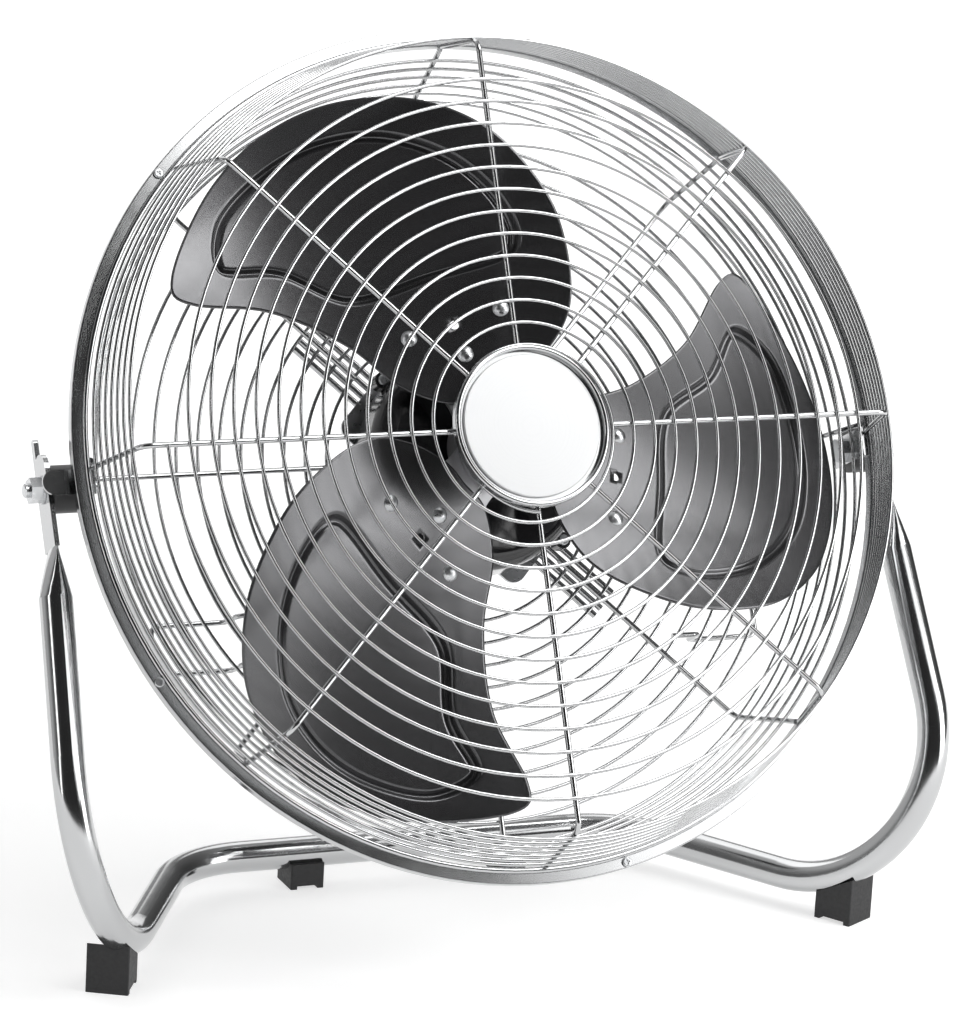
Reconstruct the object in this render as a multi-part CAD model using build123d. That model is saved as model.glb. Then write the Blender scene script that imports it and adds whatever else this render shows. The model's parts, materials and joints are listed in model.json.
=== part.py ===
from build123d import *
import math
import os

STANDING = (Align.CENTER, Align.CENTER, Align.MIN)
HANGING = (Align.CENTER, Align.CENTER, Align.MAX)

# ---------------------------------------------------------------- driving dimensions (mm, degrees)
# Frame: +Z up, floor at Z = 0, the fan blows towards -Y, origin at the middle of the base of its box.
HEAD_TILT = 26.6                     # the head's axis rises this much above level in the stored pose
PIVOT_Y = 21.8
PIVOT_Z = 273.5
PIVOT_V = -5.5                       # pivot below the head's axis, in the head's own frame
PIVOT_W = -27.0                      # pivot behind the front face of the rim

# rim, an L-shaped front ring over an L-shaped rear ring
RIM_R = 250.0
RIM_SHEET = 1.2
RIM_FACE_W = 1.0
RIM_FACE_INNER_R = 243.8
RIM_CORNER_R = 0.8
RIM_WALL_END_W = -4.5
REAR_RING_INNER_R = 240.0
REAR_RING_OUTER_R = 248.7
REAR_RING_END_W = -6.0
RIM_SCREW_COUNT = 5
RIM_SCREW_FIRST_DEG = 65.5
RIM_SCREW_R = 246.7
RIM_SCREW_SHANK_R = 1.5
RIM_SCREW_HEAD_R = 2.75

# guards
COIL_WIRE_R = 1.05
SPOKE_WIRE_R = 1.6
WELD_SINK = 0.3                      # depth of each spot weld between crossing wires
SPOKE_COUNT = 8
COIL_PITCH = 12.97
FRONT_COIL_W = 55.8
FRONT_COIL_START_R = 44.4            # leftmost point of the innermost full turn
FRONT_COIL_TURNS = 13
FRONT_COIL_NUB_V = -48.5
FRONT_SHOULDER_R = 226.5
FRONT_SPOKE_END = (239.2, 1.6)
FRONT_SIDE_RING_COUNT = 7
FRONT_BASE_RING_R = 242.1
REAR_COIL_W = -58.0
REAR_COIL_START_R = 80.0
REAR_COIL_TURNS = 10
REAR_SHOULDER_R = 221.0
REAR_SPOKE_END = (238.7, -2.5)
REAR_SIDE_RING_COUNT = 6
REAR_SPOKE_SIDE_SHIFT = 5.0          # the two level rear spokes pass above the pivot bolts
SIDE_RING_MARGIN = 7.5               # first and last side ring from the ends of the side run
SPOKE_BEND_R = 7.0

# badge
BADGE_R = 46.5
BADGE_CHANNEL_R = 43.0
BADGE_BASE_R = 43.0
BADGE_DISC_R = 41.0
BADGE_DISC_T = 3.0
BADGE_BACK_W = 57.0
BADGE_FRONT_W = 62.4
BADGE_SCREW_R = 25.0
BADGE_CLAMP_R = 38.0
BADGE_CLAMP_SHEET = 2.0
FRONT_SPOKE_START_R = 28.0

# blades: x clockwise across the blade, y outwards along its middle line, seen from the front
BLADE_COUNT = 3
BLADE_FIRST_DEG = 103.3
BLADE_SHEET = 1.2
BLADE_RIVETS = ((26.8, 74.3), (-26.8, 74.3), (0.0, 55.8))
BLADE_HOLE = (0.0, 73.7)
BLADE_HOLE_R = 2.6
RECESS_DEPTH = 4.2
RECESS_WALL = 2.4
RIVET_SHANK_R = 2.2
RIVET_HEAD_R = 4.8
RIVET_HEAD_H = 2.6
RIVET_HEAD_GAP = 0.15                 # keeps the dome clear of the curved blade
RIVET_SHANK_TOP = 0.4
RIVET_TAIL_R = RIVET_SHANK_R + 1.2
RIVET_TAIL_H = 1.0
ARM_SHEET = 2.5
HUB_R = 26.0
HUB_REAR_W = -5.0
HUB_FRONT_W = 15.0

# motor
SHAFT_R = 4.0
SHAFT_REAR_W = -54.0
SHAFT_FRONT_W = 24.0
MOTOR_R = 66.0
MOTOR_WALL = 3.0
MOTOR_EDGE_R = 12.0
MOTOR_REAR_W = -56.5
MOTOR_SPLIT_W = -34.0
MOTOR_FRONT_W = -12.0
BEARING_R = 11.0
BEARING_W = 7.0
BEARING_GAP = 0.05
STATOR_OUTER_R = 63.0
STATOR_INNER_R = 43.0
ROTOR_CORE_R = 42.4
CORE_REAR_W = -44.0
CORE_FRONT_W = -24.0
WINDING_RADII = (58.0, 46.0)
WINDING_H = 5.0
LUG_R = 5.0
LUG_PLACE_R = 70.0
LUG_H = 4.0
MOTOR_SCREW_COUNT = 4

# motor mount and switch box
RAIL_R = 2.0
RAIL_OFFSETS = (-9.0, -3.0, 3.0, 9.0)
RAIL_HALF_LENGTH = 118.5
RAIL_DEG = 135.0
RAIL_W = REAR_COIL_W - COIL_WIRE_R - RAIL_R + WELD_SINK
PLATE_FRONT_W = MOTOR_REAR_W
PLATE_REAR_W = RAIL_W + RAIL_R
PLATE_SIZE = (140.0, 62.0)
PLATE_SCREW_PLACE = (25.0, 16.0)     # along and across the rails
CLAMP_DISTANCE = 58.0
CLAMP_SIZE = (12.0, 44.0)
CLAMP_SHEET = 2.5
CLAMP_SCREW_ACROSS = 16.0
SMALL_SCREW_R = 1.5
BOX_SIZE_U = 72.0
BOX_SIZE_V = 54.0
BOX_DEPTH = 32.0
BOX_WALL = 2.5
BOX_FRONT_W = RAIL_W - RAIL_R - 0.05
BOX_REAR_W = BOX_FRONT_W - BOX_DEPTH
BOX_SCREW_ACROSS = 27.0
SWITCH_SIZE = 18.0
SWITCH_H = 13.0
KNOB_V = 6.0
KNOB_R = 17.0
KNOB_DEPTH = 15.0
KNOB_GAP = 0.4
KNOB_SHAFT_R = 3.0

# cord hooks on the rear guard
HOOK_SPAN_U = (143.0, 189.0)
HOOK_SPAN_V = (-105.0, -77.0)
HOOK_WELD_RUN = 18.0                 # length of each end that lies on the coil
HOOK_REACH = 20.0
HOOK_BEND_R = 5.0

# pivots
BRACKET_INNER_X = 237.5
BRACKET_OUTER_X = 239.5
BRACKET_HALF_HEIGHT = 8.5
BRACKET_FRONT_W = -1.6
BRACKET_REAR_W = -40.0
EAR_SHEET = 2.0
EAR_FRONT_W = -6.6
EAR_STEP = 2.0
EAR_STEP_START = 13.0                 # the ear bends forward between these, from the bracket
EAR_STEP_END = 16.0
BRACKET_RIVET_R = 1.6
BRACKET_RIVET_HEAD_R = 2.8
BRACKET_RIVET_HEAD_H = 1.4
EAR_HALF_HEIGHT = 7.0
EAR_END_X = 266.0
SPACER_R = 13.5
TUBE_PLATE_X = 259.0
TUBE_PLATE_T = 2.8
TUBE_PLATE_W = 20.0
PLATE_TOP = 20.0
PLATE_FINGER_TOP = 31.0
PLATE_FINGER_W = 5.0
BOLT_R = 4.0
BOLT_AF = 13.0
BOLT_HEAD_H = 5.0
NUT_H = 6.5
NUT_WASHER_R = 8.0
NUT_WASHER_T = 1.2
BOLT_TIP = 3.0
PIVOT_FIT = 0.08
SIDE_GAP = 0.15

# stand tube
TUBE_R = 9.5
TUBE_WALL = 1.3
TUBE_FLOOR_Z = 19.5
TUBE_FRONT_CORNER = (273.5, -126.7)
TUBE_REAR_CORNER = (143.0, 101.3)
TUBE_FRONT_BEND = 86.0
TUBE_REAR_BEND = 63.0
FLAT_END = 34.0                      # flattened length below the pivot
FLARE_END = 62.0                     # where the tube is fully round again

# feet
FRONT_FOOT_XY = (229.5, -35.7)
REAR_FOOT_XY = (66.0, 101.3)
FOOT_WIDTH = 24.5
FRONT_FOOT_LENGTH = 25.0
REAR_FOOT_LENGTH = 21.0
FRONT_FOOT_HEIGHTS = (29.0, 16.0)    # at the outer and inner end
REAR_FOOT_HEIGHT = 15.5
FOOT_RECESS = 2.0
FOOT_LIP = 4.0

# ---------------------------------------------------------------- the head's own frame
# u to the right, v up the head, w along the fan's axis towards the front.
HEAD_TURN = Location((0, 0, 0), (90.0 - HEAD_TILT, 0, 0))
PIVOT_OFFSET = (HEAD_TURN * Location((0, PIVOT_V, PIVOT_W))).position
HEAD = Location((0, PIVOT_Y - PIVOT_OFFSET.Y, PIVOT_Z - PIVOT_OFFSET.Z), (90.0 - HEAD_TILT, 0, 0))


def save(name, solids):
    """Write one node, one or more separate solids, to its own STEP file."""
    shape = solids[0] if len(solids) == 1 else Compound(children=list(solids))
    shape.label = name
    export_step(shape, "parts/" + name + ".step")


def flatten(shapes):
    """Every solid in a list of shapes."""
    return [solid for shape in shapes for solid in shape.solids()]


def in_head(shapes):
    """Move shapes from the head's own frame into the part's frame."""
    return [HEAD * solid for solid in flatten(shapes)]


def turned(shape, degrees):
    """Turn a shape about the head's axis."""
    return Rot(0, 0, degrees) * shape


def ring(outer, inner, low, high):
    """A flat ring or tube about the head's axis."""
    height = high - low
    body = Cylinder(outer, height, align=STANDING)
    hole = Cylinder(inner, height, align=STANDING)
    return Pos(0, 0, low) * (body - hole)


def disc(radius, low, high):
    """A round plate about the head's axis."""
    return Pos(0, 0, low) * Cylinder(radius, high - low, align=STANDING)


def wire_ring(radius, wire_radius, w):
    """A closed round wire."""
    return Pos(0, 0, w) * Torus(radius, wire_radius)


def along(path, radius, inner=0.0):
    """A round wire or tube swept along a path."""
    plane = Plane(origin=path @ 0, z_dir=path % 0)
    section = Circle(radius) - Circle(inner) if inner else Circle(radius)
    return sweep(plane * section, path=path)


def rounded_path(points, radii):
    """Straight runs through the points, each inner corner eased by a tangent arc."""
    points = [Vector(*point) for point in points]
    edges = []
    start = points[0]
    for before, corner, after, radius in zip(points, points[1:], points[2:], radii):
        back = (before - corner).normalized()
        ahead = (after - corner).normalized()
        half = math.radians(back.get_angle(ahead)) / 2
        middle = (back + ahead).normalized()
        reach = radius / math.tan(half)
        centre = corner + middle * (radius / math.sin(half))
        edges.append(Line(start, corner + back * reach))
        edges.append(ThreePointArc(corner + back * reach, centre - middle * radius, corner + ahead * reach))
        start = corner + ahead * reach
    edges.append(Line(start, points[-1]))
    return Wire(edges)


def bend_arc(centre_u, radius, upper):
    """Half a turn of a coil, above or below the level line."""
    rise = radius if upper else -radius
    left = (centre_u - radius, 0)
    right = (centre_u + radius, 0)
    ends = (left, right) if upper else (right, left)
    return ThreePointArc(ends[0], (centre_u, rise), ends[1])


def coil_halves(start_r, turns):
    """Half turns from a leftmost point, clockwise, each a quarter pitch off centre."""
    arcs = []
    left = start_r
    for _ in range(turns):
        right = left + COIL_PITCH / 2
        arcs.append(bend_arc((right - left) / 2, (right + left) / 2, True))
        next_left = left + COIL_PITCH
        arcs.append(bend_arc((right - next_left) / 2, (right + next_left) / 2, False))
        left = next_left
    return arcs


def front_guard_face_coil():
    """The flat spiral of the front guard, from a nub at the lowest spoke outwards."""
    nub = -FRONT_COIL_NUB_V
    centre_u = (nub**2 - FRONT_COIL_START_R**2) / (2 * FRONT_COIL_START_R)
    radius = FRONT_COIL_START_R + centre_u
    middle_deg = 180 + math.degrees(math.atan2(nub, centre_u)) / 2
    middle = (centre_u + radius * math.cos(math.radians(middle_deg)),
              radius * math.sin(math.radians(middle_deg)))
    first = ThreePointArc((0, -nub), middle, (-FRONT_COIL_START_R, 0))
    arcs = coil_halves(FRONT_COIL_START_R, FRONT_COIL_TURNS)
    path = Wire([first] + arcs)
    return Pos(0, 0, FRONT_COIL_W) * along(path, COIL_WIRE_R)


def rear_guard_face_coil():
    """The flat spiral of the rear guard, round the motor."""
    path = Wire(coil_halves(REAR_COIL_START_R, REAR_COIL_TURNS))
    return Pos(0, 0, REAR_COIL_W) * along(path, COIL_WIRE_R)


def spoke(inner_r, shoulder_r, face_w, end, shift=0.0):
    """One guard spoke along +u: level across the face, then back to the rim."""
    points = [(inner_r, shift, face_w), (shoulder_r, shift, face_w), (end[0], shift, end[1])]
    return along(rounded_path(points, [SPOKE_BEND_R]), SPOKE_WIRE_R)


def spokes(inner_r, shoulder_r, face_w, end, side_shift=0.0):
    """Every spoke of one guard; the two level ones may be shifted up together."""
    made = []
    for index in range(SPOKE_COUNT):
        level = index in (0, SPOKE_COUNT // 2)
        lift = side_shift if index == 0 else -side_shift
        made.append(turned(spoke(inner_r, shoulder_r, face_w, end, lift if level else 0.0),
                           360.0 / SPOKE_COUNT * index))
    return made


def side_rings(shoulder, end, count):
    """Wire rings along the spokes' side runs, outside the front guard and inside the rear one."""
    run_u = end[0] - shoulder[0]
    run_w = end[1] - shoulder[1]
    length = math.hypot(run_u, run_w)
    gap = COIL_WIRE_R + SPOKE_WIRE_R - WELD_SINK
    rings = []
    for index in range(count):
        share = (SIDE_RING_MARGIN + (length - 2 * SIDE_RING_MARGIN) * index / (count - 1)) / length
        radius = shoulder[0] + run_u * share - run_w / length * gap
        w = shoulder[1] + run_w * share + run_u / length * gap
        rings.append(wire_ring(radius, COIL_WIRE_R, w))
    return rings


def rim_front_ring():
    """The bright L-shaped ring seen round the guard."""
    inside = RIM_R - RIM_SHEET
    back = RIM_FACE_W - RIM_SHEET
    outline = Polyline((RIM_FACE_INNER_R, back), (inside, back), (inside, RIM_WALL_END_W),
                       (RIM_R, RIM_WALL_END_W), (RIM_R, RIM_FACE_W), (RIM_FACE_INNER_R, RIM_FACE_W),
                       close=True)
    body = revolve(Plane.XZ * make_face(outline), axis=Axis.Z)
    circles = body.edges().filter_by(GeomType.CIRCLE)
    corner = circles.sort_by(lambda edge: edge.radius * 10 + edge.center().Z)[-1]
    body = fillet(corner, RIM_CORNER_R)
    for place in rim_screw_places():
        body -= place * Cylinder(RIM_SCREW_SHANK_R + 0.15, 10)
    return body


def rim_rear_ring():
    """The ring behind it that carries the rear guard."""
    top = RIM_FACE_W - RIM_SHEET
    low = top - RIM_SHEET
    wall = REAR_RING_INNER_R + RIM_SHEET
    outline = Polyline((REAR_RING_INNER_R, top), (REAR_RING_INNER_R, REAR_RING_END_W),
                       (wall, REAR_RING_END_W), (wall, low), (REAR_RING_OUTER_R, low),
                       (REAR_RING_OUTER_R, top), close=True)
    body = revolve(Plane.XZ * make_face(outline), axis=Axis.Z)
    for place in rim_screw_places():
        body -= place * Cylinder(RIM_SCREW_SHANK_R, 10)
    for side in (1, -1):
        for rivet_v in bracket_rivet_heights():
            hole = Pos(side * REAR_RING_INNER_R, rivet_v, bracket_rivet_w()) * Rot(0, 90, 0)
            body -= hole * Cylinder(1.6, 12)
    return body


def rim_screw_places():
    """Where the rim screws sit, in the head's frame."""
    step = 360.0 / RIM_SCREW_COUNT
    angles = [RIM_SCREW_FIRST_DEG + step * index for index in range(RIM_SCREW_COUNT)]
    return [Rot(0, 0, angle) * Pos(RIM_SCREW_R, 0, 0) for angle in angles]


def pan_screw(shank_r, head_r, head_h, length):
    """A cross-slotted screw pointing down -Z, the underside of its head at Z = 0."""
    shank = Cylinder(shank_r, length, align=HANGING)
    head = Cylinder(head_r, head_h, align=STANDING)
    head = fillet(head.edges().sort_by(Axis.Z)[-1], head_h * 0.45)
    bar = Box(head_r * 1.1, head_r * 0.3, head_h, align=STANDING)
    cross_slot = Pos(0, 0, head_h * 0.45) * (bar + Rot(0, 0, 90) * bar)
    return shank + head - cross_slot


def hexagon(across_flats, height):
    """A hexagonal prism standing on Z = 0 with flats facing +Y and -Y."""
    prism = extrude(RegularPolygon(across_flats / math.sqrt(3), 6), height)
    return prism


# ---------------------------------------------------------------- blades and hub
def blade_height(x, y):
    """Where the blade's front face lies along the fan's axis."""
    out = y - 73.0
    pitch = 7.8 + 0.286 * x - 0.026 * out
    return pitch + 0.00055 * x * out + 0.00133 * x * x - 0.0004 * out * out


def blade_normal(x, y):
    """Unit normal of the blade's front face."""
    step = 0.5
    rise_x = (blade_height(x + step, y) - blade_height(x - step, y)) / (2 * step)
    rise_y = (blade_height(x, y + step) - blade_height(x, y - step)) / (2 * step)
    return Vector(-rise_x, -rise_y, 1).normalized()


def blade_sheet(front_drop, thickness):
    """A curved sheet parallel to the blade, over its whole field."""
    columns = [-165 + 15 * index for index in range(18)]
    rows = [10 + 15 * index for index in range(16)]
    points = [[Vector(x, y, blade_height(x, y) - front_drop) for y in rows] for x in columns]
    face = Face.make_surface_from_array_of_points(points)
    return extrude(face, amount=thickness, dir=(0, 0, -1))


def blade_outline():
    """The blade's edge seen along the fan's axis."""
    lower = Spline((-16, 31), (-40, 48), (-62, 81), (-98, 113), (-139, 129))
    toe = ThreePointArc((-139, 129), (-148.5, 137), (-145, 148))
    outer = Spline((-145, 148), (-104, 191), (-62, 214), (-20, 220), (22, 208), (52, 180),
                   (68, 142), (72, 108), (62, 62), (42, 42), (16, 31))
    root = Line((16, 31), (-16, 31))
    return make_face([lower, toe, outer, root])


def recess_outline(inset=0.0):
    """The edge of the pressed panel."""
    corners = Polyline((50, 101), (-54, 101), (-84, 130), (-122, 144), (-108, 171), (-72, 195),
                       (-34, 203), (2, 196), (32, 172), (50, 138), close=True)
    panel = make_face(corners)
    panel = fillet(panel.vertices(), 9.0)
    return offset(panel, -inset) if inset else panel


def blade():
    """One pressed sheet blade in its own axes."""
    outline = extrude(blade_outline(), 100, both=True)
    panel = extrude(recess_outline(), 100, both=True)
    floor = extrude(recess_outline(RECESS_WALL), 100, both=True)
    flat = (blade_sheet(0, BLADE_SHEET) & outline) - panel
    wall = (blade_sheet(0, BLADE_SHEET + RECESS_DEPTH) & panel) - floor
    dish = blade_sheet(RECESS_DEPTH, BLADE_SHEET) & floor
    body = flat + wall + dish
    for cutter in rivet_cylinders():
        body -= cutter
    return body - Pos(*BLADE_HOLE, 0) * Cylinder(BLADE_HOLE_R, 100)


def rivet_places():
    """Rivet positions on the blade's front face, turned square to it."""
    places = []
    for x, y in BLADE_RIVETS:
        origin = Vector(x, y, blade_height(x, y))
        places.append(Plane(origin=origin, z_dir=blade_normal(x, y)).location)
    return places


def rivet_cylinders():
    """Straight shanks through blade and arm."""
    return [place * Cylinder(RIVET_SHANK_R, 16) for place in rivet_places()]


def rivets():
    """The dome rivets of one blade."""
    grip = BLADE_SHEET + ARM_SHEET + 0.5
    sphere_r = (RIVET_HEAD_R**2 + RIVET_HEAD_H**2) / (2 * RIVET_HEAD_H)
    cap = Pos(0, 0, RIVET_HEAD_H - sphere_r) * Sphere(sphere_r)
    above = Pos(0, 0, RIVET_HEAD_GAP) * Cylinder(RIVET_HEAD_R, RIVET_HEAD_H, align=STANDING)
    length = RIVET_SHANK_TOP + grip + 0.8 * RIVET_TAIL_H
    shank = Pos(0, 0, RIVET_SHANK_TOP) * Cylinder(RIVET_SHANK_R, length, align=HANGING)
    tail = Pos(0, 0, -grip) * Cylinder(RIVET_TAIL_R, RIVET_TAIL_H, align=HANGING)
    return [place * ((cap & above) + shank + tail) for place in rivet_places()]


def on_blade(shape, index):
    """Turn a blade's own axes to its place round the head's axis."""
    return turned(shape, BLADE_FIRST_DEG - 90 + 360.0 / BLADE_COUNT * index)


def hub_spider():
    """Cast centre with one twisted arm under each blade."""
    arm_outline = make_face([
        Spline((-18, 18), (-22, 40), (-37, 62), (-36, 88)),
        Line((-36, 88), (36, 88)),
        Spline((36, 88), (37, 62), (22, 40), (18, 18)),
        Line((18, 18), (-18, 18)),
    ])
    arm = blade_sheet(BLADE_SHEET, ARM_SHEET) & extrude(arm_outline, 100, both=True)
    for cutter in rivet_cylinders():
        arm -= cutter
    arm -= Pos(*BLADE_HOLE, 0) * Cylinder(BLADE_HOLE_R + 1.0, 100)
    body = disc(HUB_R, HUB_REAR_W, HUB_FRONT_W)
    for index in range(BLADE_COUNT):
        body += on_blade(arm, index)
    body -= disc(SHAFT_R, HUB_REAR_W - 1, HUB_FRONT_W + 1)
    return body - set_screw_place() * Cylinder(2.0, 2 * HUB_R)


def set_screw_place():
    """Axis of the screw that locks the hub on its shaft."""
    return Pos(0, 0, 2.0) * Rot(0, 0, 30) * Rot(0, 90, 0)


def hub_set_screw():
    """Grub screw in the hub's wall."""
    length = HUB_R - SHAFT_R - 1.0
    body = Cylinder(2.0, length, align=STANDING)
    return Pos(0, 0, 2.0) * Rot(0, 0, 30) * Rot(0, 90, 0) * Pos(0, 0, SHAFT_R) * body


def motor_shaft():
    """Shaft from the rear bearing to the hub nut."""
    return disc(SHAFT_R, SHAFT_REAR_W, SHAFT_FRONT_W)


def hub_nut():
    """Nut on the shaft in front of the hub."""
    nut = hexagon(13.0, 6.5) - Cylinder(SHAFT_R, 20)
    return Pos(0, 0, HUB_FRONT_W) * nut


# ---------------------------------------------------------------- motor
def motor_shell(rear):
    """One half of the motor's housing, with ears for the through screws."""
    closed_w = MOTOR_REAR_W if rear else MOTOR_FRONT_W
    outer_cup = disc(MOTOR_R, min(closed_w, MOTOR_SPLIT_W), max(closed_w, MOTOR_SPLIT_W))
    end_edges = outer_cup.edges().filter_by(GeomType.CIRCLE)
    end_edge = sorted(end_edges, key=lambda item: abs(item.center().Z - closed_w))[0]
    outer_cup = fillet(end_edge, MOTOR_EDGE_R)
    inner_r = MOTOR_R - MOTOR_WALL
    if rear:
        cavity = disc(inner_r, closed_w + MOTOR_WALL, MOTOR_SPLIT_W)
        seat = ring(BEARING_R + 3.0, BEARING_R, closed_w + MOTOR_WALL, closed_w + MOTOR_WALL + BEARING_W)
        bore = disc(SHAFT_R + 1.0, closed_w + 1.5, MOTOR_SPLIT_W)
    else:
        cavity = disc(inner_r, MOTOR_SPLIT_W, closed_w - MOTOR_WALL)
        seat = ring(BEARING_R + 3.0, BEARING_R, closed_w - MOTOR_WALL - BEARING_W, closed_w - MOTOR_WALL)
        bore = disc(SHAFT_R + 1.0, MOTOR_SPLIT_W, closed_w + 1)
    edge_cavity = sorted(cavity.edges().filter_by(GeomType.CIRCLE),
                         key=lambda item: abs(item.center().Z - closed_w))[0]
    cavity = fillet(edge_cavity, MOTOR_EDGE_R - MOTOR_WALL)
    body = outer_cup
    lug_low = MOTOR_SPLIT_W - LUG_H if rear else MOTOR_SPLIT_W
    for place in lug_places():
        body += place * disc(LUG_R, lug_low, lug_low + LUG_H)
    body = body - cavity + seat - bore
    holes = lug_places() + (plate_screw_places() if rear else [])
    for place in holes:
        low = PLATE_REAR_W if place in plate_screw_places() else MOTOR_SPLIT_W - 2 * LUG_H
        body -= place * disc(SMALL_SCREW_R, low, low + 4 * LUG_H)
    return body


def lug_places():
    """Where the ears for the motor's through screws sit."""
    step = 360.0 / MOTOR_SCREW_COUNT
    angles = [RAIL_DEG + step * index for index in range(MOTOR_SCREW_COUNT)]
    return [Rot(0, 0, angle) * Pos(LUG_PLACE_R, 0, 0) for angle in angles]


def motor_screws():
    """Screws that hold the two motor shells together."""
    return [place * Pos(0, 0, MOTOR_SPLIT_W + LUG_H) * pan_screw(SMALL_SCREW_R, 3.2, 2.2, 2 * LUG_H)
            for place in lug_places()]


def stator_core():
    """Laminated ring pressed into the shells."""
    return ring(STATOR_OUTER_R, STATOR_INNER_R, CORE_REAR_W, CORE_FRONT_W)


def stator_windings():
    """The winding's two end turns, each a plain rounded ring."""
    outer, inner = WINDING_RADII
    front = ring(outer, inner, CORE_FRONT_W, CORE_FRONT_W + WINDING_H)
    rear = ring(outer, inner, CORE_REAR_W - WINDING_H, CORE_REAR_W)
    return [front, rear]


def rotor_core():
    """Rotor lamination on the shaft."""
    return ring(ROTOR_CORE_R, SHAFT_R, CORE_REAR_W, CORE_FRONT_W)


def bearing(rear):
    """A ball bearing shown as one ring, its bore a running fit on the shaft."""
    low = MOTOR_REAR_W + MOTOR_WALL if rear else MOTOR_FRONT_W - MOTOR_WALL - BEARING_W
    return ring(BEARING_R, SHAFT_R + BEARING_GAP, low, low + BEARING_W)


def motor_mount_rails():
    """Four parallel wires across the rear guard."""
    rails = []
    for shift in RAIL_OFFSETS:
        half = math.sqrt(RAIL_HALF_LENGTH**2 - shift**2)
        bar = Rot(0, 90, 0) * Cylinder(RAIL_R, 2 * half)
        rails.append(turned(Pos(0, shift, RAIL_W) * bar, RAIL_DEG))
    return rails


def along_rails(along_rail, across):
    """A place given along and across the rails."""
    return Rot(0, 0, RAIL_DEG) * Pos(along_rail, across, 0)


def clamp_screw_places():
    """Screws outside the rails, two for each clamp bar."""
    return [along_rails(side * CLAMP_DISTANCE, turn * CLAMP_SCREW_ACROSS)
            for side in (1, -1) for turn in (1, -1)]


def plate_screw_places():
    """Screws between plate and motor."""
    length, across = PLATE_SCREW_PLACE
    return [along_rails(side * length, turn * across) for side in (1, -1) for turn in (1, -1)]


def box_screw_places():
    """Two screws that hold the switch box, clear of the rails."""
    return [along_rails(0, side * BOX_SCREW_ACROSS) for side in (1, -1)]


def motor_mount_plate():
    """Plate between motor and rails."""
    body = extrude(RectangleRounded(*PLATE_SIZE, 8), PLATE_FRONT_W - PLATE_REAR_W)
    body = along_rails(0, 0) * Pos(0, 0, PLATE_REAR_W) * body
    for place in clamp_screw_places() + box_screw_places() + plate_screw_places():
        body -= place * disc(SMALL_SCREW_R, PLATE_REAR_W - 1, PLATE_FRONT_W + 1)
    return body


def rear_screw(place, head_w, tip_w):
    """A screw driven from behind, its head bearing at one depth and its tip at another."""
    return place * Pos(0, 0, head_w) * Rot(180, 0, 0) * pan_screw(SMALL_SCREW_R, 3.0, 2.2, tip_w - head_w)


def plate_screws():
    """Screws from the plate into the motor's rear shell."""
    tip = MOTOR_REAR_W + MOTOR_WALL - 0.5
    return [rear_screw(place, PLATE_REAR_W, tip) for place in plate_screw_places()]


def clamp_rear_w():
    """Rear face of the clamp bars."""
    return RAIL_W - RAIL_R - CLAMP_SHEET


def clamp_bars():
    """Bars behind the rails that pull them against the plate."""
    bars = []
    for side in (1, -1):
        bar = extrude(RectangleRounded(*CLAMP_SIZE, 3), CLAMP_SHEET)
        bar = along_rails(side * CLAMP_DISTANCE, 0) * Pos(0, 0, clamp_rear_w()) * bar
        for place in clamp_screw_places():
            bar -= place * disc(SMALL_SCREW_R, clamp_rear_w() - 1, RAIL_W)
        bars.append(bar)
    return bars


def clamp_screws():
    """Screws through the clamp bars into the plate."""
    return [rear_screw(place, clamp_rear_w(), PLATE_FRONT_W - 0.2) for place in clamp_screw_places()]


# ---------------------------------------------------------------- switch box and knob
def switch_box():
    """Hollow cover behind the rails, open towards them."""
    outer = extrude(RectangleRounded(BOX_SIZE_U, BOX_SIZE_V, 8), BOX_DEPTH)
    outer = fillet(outer.faces().sort_by(Axis.Z)[0].edges(), 3.0)
    inner = extrude(RectangleRounded(BOX_SIZE_U - 2 * BOX_WALL, BOX_SIZE_V - 2 * BOX_WALL, 6),
                    BOX_DEPTH - BOX_WALL)
    body = outer - Pos(0, 0, BOX_WALL) * inner
    body = Pos(0, 0, BOX_REAR_W) * body
    body -= Pos(0, KNOB_V, BOX_REAR_W) * Cylinder(KNOB_SHAFT_R + 1.0, 20)
    body -= gland_place() * Cylinder(5.0, 30)
    for place in box_screw_places():
        body += place * disc(3.4, BOX_REAR_W + BOX_WALL, PLATE_REAR_W)
        body -= place * disc(SMALL_SCREW_R, BOX_REAR_W - 1, PLATE_REAR_W + 1)
    return body


def box_screws():
    """Long screws through the switch box into the plate."""
    return [rear_screw(place, BOX_REAR_W, PLATE_FRONT_W - 0.2) for place in box_screw_places()]


def gland_place():
    """Axis of the cord gland in the box's lower wall."""
    return Pos(0, -BOX_SIZE_V / 2, (BOX_FRONT_W + BOX_REAR_W) / 2) * Rot(90, 0, 0)


def cord_gland():
    """Cord gland with its bore; the cord itself is left out."""
    neck = Cylinder(5.0, BOX_WALL + 2, align=HANGING)
    collar = Cylinder(8.0, 4, align=STANDING)
    cap = Pos(0, 0, 4) * Cone(6.8, 5.4, 8, align=STANDING)
    body = neck + collar + cap - Cylinder(3.6, 60)
    return gland_place() * body


def rotary_switch():
    """Stepped switch inside the box."""
    low = BOX_REAR_W + BOX_WALL
    body = Pos(0, KNOB_V, low) * extrude(RectangleRounded(SWITCH_SIZE, SWITCH_SIZE, 2), SWITCH_H)
    return body - Pos(0, KNOB_V, 0) * disc(KNOB_SHAFT_R + BEARING_GAP, low - 1, low + SWITCH_H - 2)


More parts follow.
